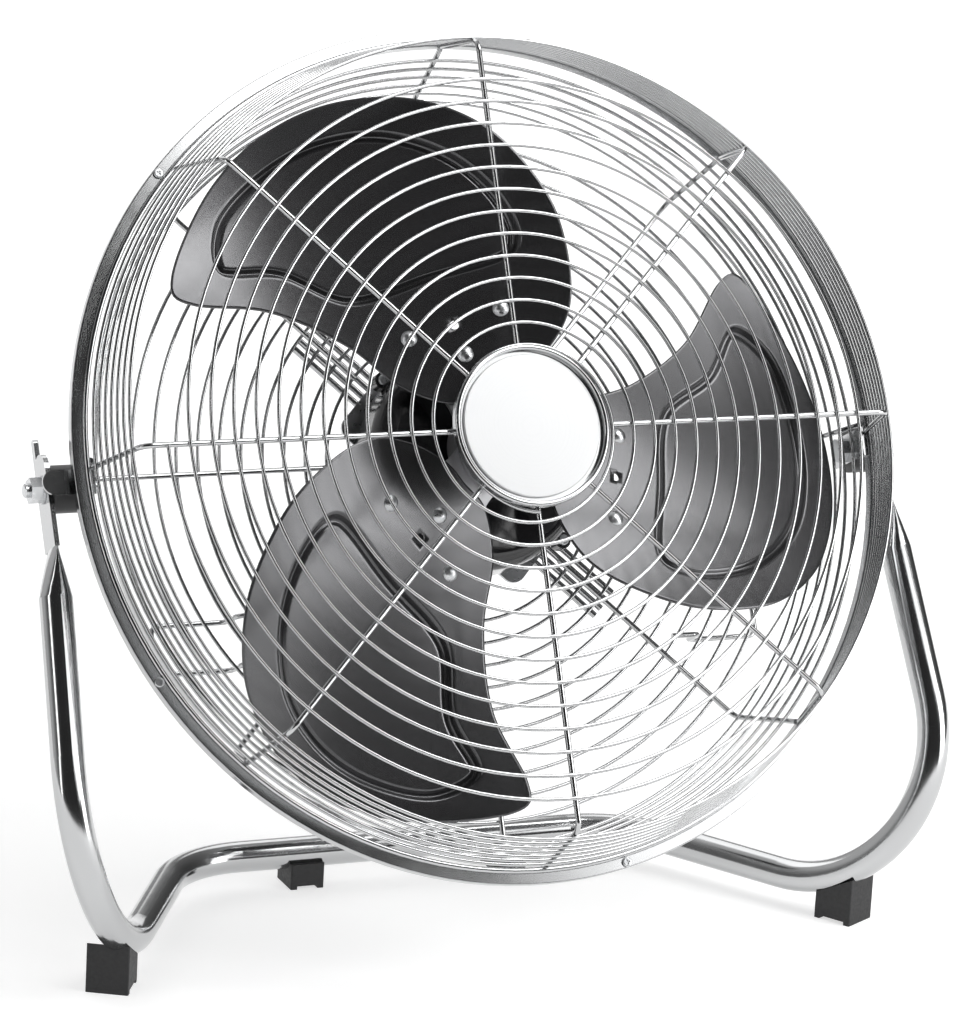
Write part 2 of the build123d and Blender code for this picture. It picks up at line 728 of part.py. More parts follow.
def speed_knob():
    """Speed knob with its shaft and a pointer rib."""
    front = BOX_REAR_W - KNOB_GAP
    skirt = disc(KNOB_R, front - 3, front)
    grip = disc(KNOB_R - 3, front - KNOB_DEPTH, front - 3)
    grip = fillet(grip.edges().filter_by(GeomType.CIRCLE).sort_by(Axis.Z)[0], 2.0)
    rib = Pos(0, 0, front - KNOB_DEPTH - 0.8) * extrude(RectangleRounded(2.4, 2 * KNOB_R - 10, 1), 3)
    shaft = disc(KNOB_SHAFT_R, front - 1, BOX_REAR_W + BOX_WALL + SWITCH_H - 3)
    return Pos(0, KNOB_V, 0) * (skirt + grip + rib + shaft)


# ---------------------------------------------------------------- badge
def badge_bezel():
    """Polished rolled ring round the badge."""
    outline = make_face([
        Line((BADGE_DISC_R, BADGE_BACK_W), (BADGE_R, BADGE_BACK_W)),
        Line((BADGE_R, BADGE_BACK_W), (BADGE_R, BADGE_FRONT_W - 1.6)),
        ThreePointArc((BADGE_R, BADGE_FRONT_W - 1.6), (BADGE_R - 1.6, BADGE_FRONT_W),
                      (BADGE_R - 3.2, BADGE_FRONT_W - 1.6)),
        Line((BADGE_R - 3.2, BADGE_FRONT_W - 1.6), (BADGE_CHANNEL_R, BADGE_BACK_W + 1.4)),
        Line((BADGE_CHANNEL_R, BADGE_BACK_W + 1.4), (BADGE_DISC_R, BADGE_BACK_W + 1.4)),
        Line((BADGE_DISC_R, BADGE_BACK_W + 1.4), (BADGE_DISC_R, BADGE_BACK_W)),
    ])
    return revolve(Plane.XZ * outline, axis=Axis.Z)


def badge_disc():
    """Plain flat disc inside the bezel, with an eased front edge."""
    body = disc(BADGE_DISC_R, BADGE_BACK_W, BADGE_BACK_W + BADGE_DISC_T)
    return fillet(body.edges().filter_by(GeomType.CIRCLE).sort_by(Axis.Z)[-1], 0.8)


def badge_screw_places():
    """Screws between the spokes that clamp the badge to the guard."""
    return [Rot(0, 0, 22.5 + 90 * index) * Pos(BADGE_SCREW_R, 0, 0) for index in range(4)]


def badge_base():
    """Plastic plate that carries the badge on the front of the spokes."""
    body = disc(BADGE_BASE_R, spoke_front_w(), BADGE_BACK_W)
    for place in badge_screw_places():
        body -= place * disc(SMALL_SCREW_R, spoke_front_w() - 1, spoke_front_w() + 1.5)
    return body


def badge_clamp():
    """Plate behind the spokes."""
    high = front_spoke_w() - SPOKE_WIRE_R
    body = disc(BADGE_CLAMP_R, high - BADGE_CLAMP_SHEET, high)
    for place in badge_screw_places():
        body -= place * disc(SMALL_SCREW_R, high - BADGE_CLAMP_SHEET - 1, high + 1)
    return body


def badge_screws():
    """Screws from the clamp plate into the badge's base."""
    low = front_spoke_w() - SPOKE_WIRE_R - BADGE_CLAMP_SHEET
    return [rear_screw(place, low, spoke_front_w() + 1.5) for place in badge_screw_places()]


def front_spoke_w():
    """Middle of the front spokes' level runs."""
    return FRONT_COIL_W - COIL_WIRE_R - SPOKE_WIRE_R + WELD_SINK


def spoke_front_w():
    """Front of the front spokes' level runs."""
    return front_spoke_w() + SPOKE_WIRE_R


def rear_spoke_w():
    """Middle of the rear spokes' level runs."""
    return REAR_COIL_W + COIL_WIRE_R + SPOKE_WIRE_R - WELD_SINK


# ---------------------------------------------------------------- pivots
def bracket_rivet_heights():
    """Heights of the two rivets that fix each bracket to the rim."""
    return (PIVOT_V - 4.0, PIVOT_V + 4.0)


def bracket_rivet_w():
    """Where those rivets sit along the fan's axis."""
    return (BRACKET_FRONT_W + REAR_RING_END_W) / 2


def pivot_bracket(side):
    """Plate beside the pivot with an ear bent outwards in front of the stand."""
    height = 2 * BRACKET_HALF_HEIGHT
    middle_w = (BRACKET_FRONT_W + BRACKET_REAR_W) / 2
    plate = Pos((BRACKET_INNER_X + BRACKET_OUTER_X) / 2, PIVOT_V, middle_w) * Box(
        BRACKET_OUTER_X - BRACKET_INNER_X, height, BRACKET_FRONT_W - BRACKET_REAR_W)
    near = EAR_FRONT_W - EAR_STEP
    step_start = BRACKET_INNER_X + EAR_STEP_START
    step_end = BRACKET_INNER_X + EAR_STEP_END
    ear_line = Polyline((BRACKET_INNER_X, near), (step_start, near), (step_end, EAR_FRONT_W),
                        (EAR_END_X, EAR_FRONT_W), (EAR_END_X, EAR_FRONT_W - EAR_SHEET),
                        (step_end, EAR_FRONT_W - EAR_SHEET), (step_start, near - EAR_SHEET),
                        (BRACKET_INNER_X, near - EAR_SHEET), close=True)
    ear = extrude(Plane.XZ * make_face(ear_line), 2 * EAR_HALF_HEIGHT, both=True)
    straight_end = EAR_END_X - EAR_HALF_HEIGHT
    slot = Pos((BRACKET_INNER_X + straight_end) / 2, 0, 0) * Box(
        straight_end - BRACKET_INNER_X, 2 * EAR_HALF_HEIGHT, 60)
    slot += Pos(straight_end, 0, 0) * Cylinder(EAR_HALF_HEIGHT, 60)
    body = plate + Pos(0, PIVOT_V, 0) * (ear & slot)
    body -= Pos(BRACKET_INNER_X, PIVOT_V, PIVOT_W) * Rot(0, 90, 0) * Cylinder(BOLT_R, 20)
    for rivet_v in bracket_rivet_heights():
        body -= Pos(BRACKET_INNER_X, rivet_v, bracket_rivet_w()) * Rot(0, 90, 0) * Cylinder(BRACKET_RIVET_R, 10)
    return body if side > 0 else body.mirror(Plane.YZ)


def bracket_rivets():
    """Rivets from the brackets into the rim's inner wall."""
    rivets_made = []
    length = REAR_RING_INNER_R + RIM_SHEET - BRACKET_INNER_X + 0.7
    for rivet_v in bracket_rivet_heights():
        shank = Pos(BRACKET_INNER_X - 0.2, 0, 0) * Rot(0, 90, 0) * Cylinder(BRACKET_RIVET_R, length, align=STANDING)
        head = Pos(BRACKET_INNER_X, 0, 0) * Rot(0, -90, 0) * Cylinder(
            BRACKET_RIVET_HEAD_R, BRACKET_RIVET_HEAD_H, align=STANDING)
        rivet = Pos(0, rivet_v, bracket_rivet_w()) * (shank + head)
        rivets_made.append(rivet)
        rivets_made.append(rivet.mirror(Plane.YZ))
    return rivets_made


def at_pivot(side, distance):
    """A place on the pivot axis in the part's frame, its Z pointing outwards."""
    return Pos(side * distance, PIVOT_Y, PIVOT_Z) * Rot(0, 90 * side, 0)


def pivot_spacer(side):
    """Black spacer between bracket and stand."""
    length = TUBE_PLATE_X - TUBE_PLATE_T / 2 - SIDE_GAP - BRACKET_OUTER_X
    body = Cylinder(SPACER_R, length, align=STANDING)
    body = fillet(body.edges().filter_by(GeomType.CIRCLE), 0.8)
    body -= Cylinder(BOLT_R, 3 * length)
    return at_pivot(side, BRACKET_OUTER_X) * body


def pivot_bolt(side):
    """Hexagon bolt from inside the bracket out through the stand."""
    outer_face = TUBE_PLATE_X + TUBE_PLATE_T / 2 + SIDE_GAP + NUT_WASHER_T
    length = outer_face + NUT_H + BOLT_TIP - BRACKET_INNER_X
    shank = Cylinder(BOLT_R, length, align=STANDING)
    shank = chamfer(shank.edges().sort_by(Axis.Z)[-1], 0.8)
    head = Pos(0, 0, -BOLT_HEAD_H) * Rot(0, 0, HEAD_TILT) * hexagon(BOLT_AF, BOLT_HEAD_H)
    return at_pivot(side, BRACKET_INNER_X) * (shank + head)


def pivot_washer(side):
    """Washer under the nut."""
    body = Cylinder(NUT_WASHER_R, NUT_WASHER_T, align=STANDING)
    body -= Cylinder(BOLT_R, 10)
    return at_pivot(side, TUBE_PLATE_X + TUBE_PLATE_T / 2 + SIDE_GAP) * body


def pivot_nut(side):
    """Lock nut on the bolt's outer end."""
    body = hexagon(BOLT_AF, NUT_H) - Cylinder(BOLT_R, 40)
    return at_pivot(side, TUBE_PLATE_X + TUBE_PLATE_T / 2 + SIDE_GAP + NUT_WASHER_T) * body


# ---------------------------------------------------------------- cord hooks
def cord_hook(side):
    """U-shaped wire welded to the rear guard, to wind the cord on."""
    root = REAR_COIL_W - COIL_WIRE_R - SPOKE_WIRE_R + WELD_SINK
    back = root - HOOK_REACH
    inner, outer = HOOK_SPAN_U
    low, high = HOOK_SPAN_V
    weld_end = inner - HOOK_WELD_RUN
    lower_leg = [(weld_end, low, root), (inner, low, root), (inner, low, back), (outer, low, back)]
    upper_leg = [(u, high, w) for u, _, w in reversed(lower_leg)]
    points = lower_leg + upper_leg
    body = along(rounded_path(points, [HOOK_BEND_R] * 6), SPOKE_WIRE_R)
    return body if side > 0 else body.mirror(Plane.YZ)


# ---------------------------------------------------------------- stand
def flat_end_centre():
    """Where the right upright's flattened plate ends, and the plate's own way down."""
    down = Vector(0, TUBE_FRONT_CORNER[1] - PIVOT_Y, TUBE_FLOOR_Z - PIVOT_Z).normalized()
    return Vector(TUBE_PLATE_X, PIVOT_Y, PIVOT_Z) + down * FLAT_END, down


def round_tube_start():
    """Where the right upright is fully round, and its direction there."""
    flat_end, _ = flat_end_centre()
    corner = Vector(*TUBE_FRONT_CORNER, TUBE_FLOOR_Z)
    along_tube = (corner - flat_end).normalized()
    return flat_end + along_tube * (FLARE_END - FLAT_END), along_tube


def tube_points():
    """Corners of the right half of the stand, from its round start to the rear."""
    start, _ = round_tube_start()
    front = (*TUBE_FRONT_CORNER, TUBE_FLOOR_Z)
    rear = (*TUBE_REAR_CORNER, TUBE_FLOOR_Z)
    return [(start.X, start.Y, start.Z), front, rear]


def tube_flare():
    """The right upright's change from round to flat."""
    flat_end, flat_down = flat_end_centre()
    start, along_tube = round_tube_start()
    rearward = Vector(1, 0, 0).cross(flat_down)
    middle = (flat_end + start) * 0.5
    round_end = Plane(origin=start, x_dir=rearward, z_dir=along_tube)
    half_way = Plane(origin=middle, x_dir=rearward, z_dir=along_tube)
    flat = Plane(origin=flat_end, x_dir=rearward, z_dir=flat_down)
    sections = [
        round_end * Ellipse(TUBE_R, TUBE_R),
        half_way * Ellipse(TUBE_R + 0.9, TUBE_R * 0.62),
        flat * Ellipse(TUBE_PLATE_W / 2, TUBE_PLATE_T / 2),
    ]
    return loft(sections)


def tube_plate():
    """The right upright's flat top: bolt hole, round end and a finger at its rear edge."""
    _, down = flat_end_centre()
    half = TUBE_PLATE_W / 2
    low = -FLAT_END - 0.5
    shoulder = PLATE_TOP - half
    blank = make_face([
        Line((-half, low), (-half, shoulder)),
        ThreePointArc((-half, shoulder), (0, PLATE_TOP), (half, shoulder)),
        Line((half, shoulder), (half, low)),
        Line((half, low), (-half, low)),
    ])
    finger = RectangleRounded(PLATE_FINGER_W, PLATE_FINGER_TOP, 0.45 * PLATE_FINGER_W)
    outline = blank + Pos(half - PLATE_FINGER_W / 2, PLATE_FINGER_TOP / 2) * finger
    rearward = Vector(1, 0, 0).cross(down)
    place = Plane(origin=(TUBE_PLATE_X, PIVOT_Y, PIVOT_Z), x_dir=rearward, z_dir=(1, 0, 0))
    return place * extrude(outline, TUBE_PLATE_T / 2, both=True)


def stand_tube():
    """One bent tube: two uprights with flattened ends and the floor run between them."""
    right = tube_points()
    left = [(-x, y, z) for x, y, z in reversed(right)]
    bends = [TUBE_FRONT_BEND, TUBE_REAR_BEND, TUBE_REAR_BEND, TUBE_FRONT_BEND]
    tube = along(rounded_path(right + left, bends), TUBE_R, TUBE_R - TUBE_WALL)
    end = tube_flare() + tube_plate()
    end -= Pos(TUBE_PLATE_X, PIVOT_Y, PIVOT_Z) * Rot(0, 90, 0) * Cylinder(BOLT_R + PIVOT_FIT, 30)
    return tube + end + end.mirror(Plane.YZ)


def foot(length, heights, centre, heading):
    """Rubber block with a saddle for the tube and two lips on the floor."""
    outer_height, inner_height = heights
    side_view = Polyline((-length / 2, 0), (length / 2, 0), (length / 2, outer_height),
                         (-length / 2, inner_height), close=True)
    body = extrude(Plane.XZ * make_face(side_view), FOOT_WIDTH / 2, both=True)
    body = fillet(body.edges().filter_by(Axis.Z), 1.0)
    gap = Box(length - 2 * FOOT_LIP, FOOT_WIDTH + 2, 2 * FOOT_RECESS)
    body -= gap
    return Pos(*centre, 0) * Rot(0, 0, heading) * body


def saddle_bar():
    """The right half of the stand as a solid bar, used to cut the feet's saddles."""
    points = tube_points() + [(0, TUBE_REAR_CORNER[1], TUBE_FLOOR_Z)]
    return along(rounded_path(points, [TUBE_FRONT_BEND, TUBE_REAR_BEND]), TUBE_R)


def save_feet():
    """The four feet, each with its saddle cut to the tube."""
    run_x = TUBE_FRONT_CORNER[0] - TUBE_REAR_CORNER[0]
    run_y = TUBE_FRONT_CORNER[1] - TUBE_REAR_CORNER[1]
    heading = math.degrees(math.atan2(run_y, run_x))
    bar = saddle_bar()
    front = foot(FRONT_FOOT_LENGTH, FRONT_FOOT_HEIGHTS, FRONT_FOOT_XY, heading) - bar
    rear = foot(REAR_FOOT_LENGTH, (REAR_FOOT_HEIGHT, REAR_FOOT_HEIGHT), REAR_FOOT_XY, 0) - bar
    for name, body in (("foot_front", front), ("foot_rear", rear)):
        save(name + "_right", flatten([body]))
        save(name + "_left", flatten([body.mirror(Plane.YZ)]))


def rim_screws():
    """Pan-head screws round the rim."""
    return [place * Pos(0, 0, RIM_FACE_W) * pan_screw(RIM_SCREW_SHANK_R, RIM_SCREW_HEAD_R, 1.6, 5.0)
            for place in rim_screw_places()]


# ---------------------------------------------------------------- write every node
os.makedirs("parts", exist_ok=True)

save("stand_tube", [stand_tube()])
save_feet()

save("rim_front_ring", in_head([rim_front_ring()]))
save("rim_rear_ring", in_head([rim_rear_ring()]))
save("rim_screws", in_head(rim_screws()))
save("front_guard_coil", in_head([front_guard_face_coil()]))
front_spokes = spokes(FRONT_SPOKE_START_R, FRONT_SHOULDER_R, front_spoke_w(), FRONT_SPOKE_END)
save("front_guard_spokes", in_head(front_spokes))
save("front_guard_side_rings", in_head(side_rings((FRONT_SHOULDER_R, front_spoke_w()), FRONT_SPOKE_END,
                                                  FRONT_SIDE_RING_COUNT)))
save("front_guard_base_ring", in_head([wire_ring(FRONT_BASE_RING_R, SPOKE_WIRE_R,
                                                 RIM_FACE_W - RIM_SHEET + SPOKE_WIRE_R)]))
save("rear_guard_coil", in_head([rear_guard_face_coil()]))
save("rear_guard_spokes", in_head(spokes(REAR_COIL_START_R, REAR_SHOULDER_R, rear_spoke_w(), REAR_SPOKE_END,
                                         REAR_SPOKE_SIDE_SHIFT)))
save("rear_guard_side_rings", in_head(side_rings((REAR_SHOULDER_R, rear_spoke_w()), REAR_SPOKE_END,
                                                 REAR_SIDE_RING_COUNT)))
save("cord_hooks", in_head([cord_hook(1), cord_hook(-1)]))

save("badge_bezel", in_head([badge_bezel()]))
save("badge_disc", in_head([badge_disc()]))
save("badge_base", in_head([badge_base()]))
save("badge_clamp", in_head([badge_clamp()]))
save("badge_screws", in_head(badge_screws()))

blade_body = blade()
rivet_bodies = rivets()
for number in range(BLADE_COUNT):
    save("blade_" + str(number + 1), in_head([on_blade(blade_body, number)]))
all_rivets = [on_blade(body, number) for number in range(BLADE_COUNT) for body in rivet_bodies]
save("blade_rivets", in_head(all_rivets))
save("hub_spider", in_head([hub_spider()]))
save("hub_set_screw", in_head([hub_set_screw()]))
save("hub_nut", in_head([hub_nut()]))
save("motor_shaft", in_head([motor_shaft()]))
save("rotor_core", in_head([rotor_core()]))

save("motor_rear_shell", in_head([motor_shell(True)]))
save("motor_front_shell", in_head([motor_shell(False)]))
save("motor_bearing_rear", in_head([bearing(True)]))
save("motor_bearing_front", in_head([bearing(False)]))
save("stator_core", in_head([stator_core()]))
save("stator_windings", in_head(stator_windings()))
save("motor_screws", in_head(motor_screws()))
save("motor_plate_screws", in_head(plate_screws()))
save("motor_mount_plate", in_head([motor_mount_plate()]))
save("motor_mount_rails", in_head(motor_mount_rails()))
save("rail_clamps", in_head(clamp_bars()))
save("rail_clamp_screws", in_head(clamp_screws()))

save("switch_box", in_head([switch_box()]))
save("box_screws", in_head(box_screws()))
save("rotary_switch", in_head([rotary_switch()]))
save("cord_gland", in_head([cord_gland()]))
save("speed_knob", in_head([speed_knob()]))

save("pivot_bracket_right", in_head([pivot_bracket(1)]))
save("pivot_bracket_left", in_head([pivot_bracket(-1)]))
save("bracket_rivets", in_head(bracket_rivets()))
save("pivot_spacers", flatten([pivot_spacer(side) for side in (1, -1)]))
save("pivot_bolts", flatten([pivot_bolt(side) for side in (1, -1)]))
save("pivot_washers", flatten([pivot_washer(side) for side in (1, -1)]))
save("pivot_nuts", flatten([pivot_nut(side) for side in (1, -1)]))
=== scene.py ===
import json
import math

import bpy
import numpy as np
from mathutils import Matrix, Vector
from mathutils.geometry import delaunay_2d_cdt


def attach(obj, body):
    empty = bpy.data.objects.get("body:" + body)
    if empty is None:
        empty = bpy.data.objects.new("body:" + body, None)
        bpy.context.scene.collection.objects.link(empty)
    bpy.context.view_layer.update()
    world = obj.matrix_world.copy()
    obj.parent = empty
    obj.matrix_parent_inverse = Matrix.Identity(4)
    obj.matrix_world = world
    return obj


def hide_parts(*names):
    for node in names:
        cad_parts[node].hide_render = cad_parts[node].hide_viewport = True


# ---------------------------------------------------------------- driving dimensions (metres, degrees)
# Head frame: u right, v up the head, w forward along the fan's axis, from the rim's front face.
HEAD_CENTRE = Vector((0.0, 0.00012, 0.29051))
HEAD_TILT = 26.6

# camera
CAMERA_AZIMUTH = -23.486
CAMERA_ELEVATION = 13.82
CAMERA_ROLL = 3.197
CAMERA_DISTANCE = 2.54617
CAMERA_LENS = 156.83
CAMERA_SHIFT = (-0.0044, -0.0614)

# light
# The surroundings are darkest towards these; the shorter direction is the paler of the two.
DARK_SIDES = ((-0.387, -0.890, 0.239), (0.500, 0.165, -0.028))
# Grey levels by how far towards a dark side, from 0 straight away from it to 1 straight at it.
WORLD_FAR_GREY = 0.9
WORLD_BANDS = ((0.54, 0.70), (0.68, 0.20), (0.78, 0.04))
WORLD_STRENGTH = 0.8
FLOOR_GLOW = (0.63, 0.94)             # near the fan and far from it
FLOOR_GLOW_REACH = (0.5, 2.2)        # distances between which the glow grows
FLOOR_FRONT = 3.0
FLOOR_BACK = 14.0
FLOOR_HALF_WIDTH = 3.2
FLOOR_GREY = 0.56
BACKDROP_BEND_R = 1.2
BACKDROP_BEND_STEPS = 12
SOFTBOXES = (                        # name, direction from the head, distance, size, power
    ("badge", (1.42, -1.62, 1.02), 2.3, (1.15, 1.25), 10.0),
    ("right", (0.78, -0.60, 0.16), 2.4, (1.0, 1.3), 20.0),
    ("above", (0.39, -0.31, 0.87), 2.0, (1.5, 1.1), 30.0),
    ("left", (-0.95, -0.20, 0.25), 2.4, (0.3, 1.6), 5.0),
    ("back", (0.00, 0.75, 0.66), 2.6, (2.5, 1.4), 14.0),
)

# blades, in millimetres: x clockwise, y outwards
MM = 0.001
BLADE_FIRST_DEG = 103.3
BLADE_COUNT = 3
BLADE_SHEET = 1.2
BLADE_HOLE = (0.0, 73.7)
BLADE_HOLE_R = 2.6
BLADE_HOLE_POINTS = 20
ROOT_Y = 73.0
FACE_AT_ROOT = 7.8                   # the blade's face at its root, forward of the head's zero plane
SLOPE_ACROSS = 0.286
SLOPE_OUT = -0.026
TWIST = 0.00055
CAMBER_ACROSS = 0.00133
CAMBER_OUT = -0.0004
RECESS_DEPTH = 3.6
RECESS_WALL = 3.2
GROOVE_DEPTH = 2.4                   # the wall runs into a groove before the flat panel
GROOVE_WIDTH = 7.0
RECESS_BORDER = 2.4                  # even strips of mesh on both sides of the wall and groove
RECESS_STRIPS = 14
EDGE_STRIP = 1.5
GRID_EDGE_GAP = 3.0
GRID_RECESS_GAP = 1.5
GRID_X = (-150, 80)
GRID_Y = (30, 222)
GRID_STEP = 5.0
BLADE_EDGE = ((16, 31), (0, 31), (-16, 31), (-40, 48), (-62, 81), (-98, 113), (-139, 129), (-148, 137),
              (-145, 148), (-104, 191), (-62, 214), (-20, 220), (22, 208), (52, 180), (68, 142),
              (72, 108), (62, 62), (42, 42))
RECESS_EDGE = ((44, 101), (-2, 101), (-52, 103), (-84, 130), (-117, 143), (-108, 171), (-72, 194),
               (-34, 202), (2, 195), (32, 171), (49, 138), (51, 110))


# ---------------------------------------------------------------- materials
def new_material(name):
    """A material with its shader and a helper to add nodes."""
    material = bpy.data.materials.new(name)
    material.use_nodes = True
    nodes = material.node_tree.nodes
    return material, nodes["Principled BSDF"], nodes, material.node_tree.links


def add_noise(nodes, links, scale, detail=4.0):
    """Noise fixed to the object's own coordinates."""
    place = nodes.new("ShaderNodeTexCoord")
    noise = nodes.new("ShaderNodeTexNoise")
    noise.inputs["Scale"].default_value = scale
    noise.inputs["Detail"].default_value = detail
    links.new(place.outputs["Object"], noise.inputs["Vector"])
    return noise


def vary(nodes, links, noise, target, low, high):
    """Drive one value of the shader between two limits with the noise."""
    span = nodes.new("ShaderNodeMapRange")
    span.inputs["From Min"].default_value = 0.3
    span.inputs["From Max"].default_value = 0.7
    span.inputs["To Min"].default_value = low
    span.inputs["To Max"].default_value = high
    links.new(noise.outputs["Fac"], span.inputs["Value"])
    links.new(span.outputs["Result"], target)


def add_bump(nodes, links, noise, shader, strength, distance):
    """Small relief from the noise."""
    bump = nodes.new("ShaderNodeBump")
    bump.inputs["Strength"].default_value = strength
    bump.inputs["Distance"].default_value = distance
    links.new(noise.outputs["Fac"], bump.inputs["Height"])
    links.new(bump.outputs["Normal"], shader.inputs["Normal"])


def finish_material(name, color, metallic, roughness, scale, bump=(0.0, 0.0), coat=0.0):
    """A plain procedural finish with uneven gloss and, if asked, fine relief."""
    material, shader, nodes, links = new_material(name)
    shader.inputs["Base Color"].default_value = (*color, 1.0)
    shader.inputs["Metallic"].default_value = metallic
    shader.inputs["Coat Weight"].default_value = coat
    shader.inputs["Coat Roughness"].default_value = 0.08
    noise = add_noise(nodes, links, scale)
    vary(nodes, links, noise, shader.inputs["Roughness"], *roughness)
    if bump[0]:
        add_bump(nodes, links, noise, shader, *bump)
    return material


def brushed_disc_material():
    """Aluminium with fine turning marks round the fan's axis."""
    material, shader, nodes, links = new_material("badge_aluminium")
    shader.inputs["Base Color"].default_value = (0.58, 0.585, 0.59, 1.0)
    shader.inputs["Metallic"].default_value = 0.85
    place = nodes.new("ShaderNodeTexCoord")
    shift = nodes.new("ShaderNodeVectorMath")
    shift.operation = "SUBTRACT"
    shift.inputs[1].default_value = HEAD_CENTRE
    length = nodes.new("ShaderNodeVectorMath")
    length.operation = "LENGTH"
    noise = nodes.new("ShaderNodeTexNoise")
    noise.noise_dimensions = "1D"
    noise.inputs["Scale"].default_value = 2500.0
    links.new(place.outputs["Object"], shift.inputs[0])
    links.new(shift.outputs["Vector"], length.inputs[0])
    links.new(length.outputs["Value"], noise.inputs["W"])
    vary(nodes, links, noise, shader.inputs["Roughness"], 0.34, 0.46)
    return material


def make_materials():
    """One material for each slot of the record."""
    return {
        "polished_chrome": finish_material("polished_chrome", (0.52, 0.525, 0.53), 1.0, (0.13, 0.17), 60.0),
        "zinc_steel": finish_material("zinc_steel", (0.62, 0.63, 0.64), 1.0, (0.24, 0.36), 220.0),
        "badge_aluminium": brushed_disc_material(),
        "black_plastic": finish_material("black_plastic", (0.018, 0.018, 0.019), 0.0, (0.36, 0.48), 900.0,
                                         (0.15, 0.0002)),
        "blade_paint": finish_material("blade_paint", (0.110, 0.110, 0.113), 0.85, (0.20, 0.24), 400.0,
                                       (0.05, 0.00006)),
        "hub_paint": finish_material("hub_paint", (0.36, 0.36, 0.37), 0.8, (0.28, 0.38), 500.0,
                                     (0.08, 0.0001)),
        "motor_paint": finish_material("motor_paint", (0.010, 0.010, 0.011), 0.0, (0.12, 0.20), 200.0,
                                       coat=0.6),
        "bare_steel": finish_material("bare_steel", (0.52, 0.53, 0.54), 1.0, (0.24, 0.36), 300.0),
        "copper_winding": finish_material("copper_winding", (0.50, 0.20, 0.08), 1.0, (0.30, 0.45), 700.0,
                                          (0.4, 0.0004)),
        "black_rubber": finish_material("black_rubber", (0.017, 0.017, 0.018), 0.0, (0.50, 0.66), 500.0,
                                        (0.25, 0.0003)),
    }


def dress_cad_nodes(frame, materials):
    """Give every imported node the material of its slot."""
    for entry in frame["record"]["subparts"]:
        node = frame["nodes"][entry["node"]]
        node.data.materials.clear()
        node.data.materials.append(materials[entry["material_slot"]])


# ---------------------------------------------------------------- blades
def blade_height(x, y):
    """Where the blade's front face lies along the fan's axis, in millimetres."""
    out = y - ROOT_Y
    pitch = FACE_AT_ROOT + SLOPE_ACROSS * x + SLOPE_OUT * out
    return pitch + TWIST * x * out + CAMBER_ACROSS * x * x + CAMBER_OUT * out * out


def smooth_loop(points, step=2.5):
    """A closed smooth curve through the points, as a list of close points."""
    corners = [np.array(point, float) for point in points]
    count = len(corners)
    made = []
    for index in range(count):
        a, b, c, d = (corners[(index + shift) % count] for shift in (-1, 0, 1, 2))
        knots = [0.0]
        for start, end in ((a, b), (b, c), (c, d)):
            knots.append(knots[-1] + math.sqrt(np.linalg.norm(end - start)))
        t0, t1, t2, t3 = knots
        pieces = max(2, int(np.linalg.norm(c - b) / step))
        for part in range(pieces):
            t = t1 + (t2 - t1) * part / pieces
            ab = (t1 - t) / (t1 - t0) * a + (t - t0) / (t1 - t0) * b
            bc = (t2 - t) / (t2 - t1) * b + (t - t1) / (t2 - t1) * c
            cd = (t3 - t) / (t3 - t2) * c + (t - t2) / (t3 - t2) * d
            abc = (t2 - t) / (t2 - t0) * ab + (t - t0) / (t2 - t0) * bc
            bcd = (t3 - t) / (t3 - t1) * bc + (t - t1) / (t3 - t1) * cd
            made.append((t2 - t) / (t2 - t1) * abc + (t - t1) / (t2 - t1) * bcd)
    return np.array(made)


def depth_inside(point, loop):
    """Distance to a closed loop, positive inside it."""
    start = loop
    end = np.roll(loop, -1, axis=0)
    run = end - start
    share = np.clip(((point - start) * run).sum(1) / (run * run).sum(1), 0, 1)
    gap = np.linalg.norm(start + run * share[:, None] - point, axis=1).min()
    crosses = (start[:, 1] > point[1]) != (end[:, 1] > point[1])
    rise = np.where(run[:, 1] == 0, 1e-9, run[:, 1])
    at = start[:, 0] + (point[1] - start[:, 1]) * run[:, 0] / rise
    return gap if (crosses & (point[0] < at)).sum() % 2 else -gap


def inset_loop(loop, amount):
    """The loop moved inwards."""
    ahead = np.roll(loop, -1, axis=0) - np.roll(loop, 1, axis=0)
    ahead /= np.linalg.norm(ahead, axis=1)[:, None]
    inward = np.stack([-ahead[:, 1], ahead[:, 0]], axis=1)
    trial = loop[0] + inward[0]
    return loop + inward * (amount if depth_inside(trial, loop) > 0 else -amount)


def recess_drop(point, recess):
    """How far the pressed panel lies behind the blade's face at a point."""
    inside = depth_inside(point, recess)
    share = min(max(inside / RECESS_WALL, 0.0), 1.0)
    across = min(max(inside / GROOVE_WIDTH, 0.0), 1.0)
    groove = GROOVE_DEPTH * math.sin(math.pi * across) ** 2
    return RECESS_DEPTH * share * share * (3 - 2 * share) + groove


def closed_links(first, count):
    """Edges that join count points, numbered from first, into a closed loop."""
    return [(first + index, first + (index + 1) % count) for index in range(count)]


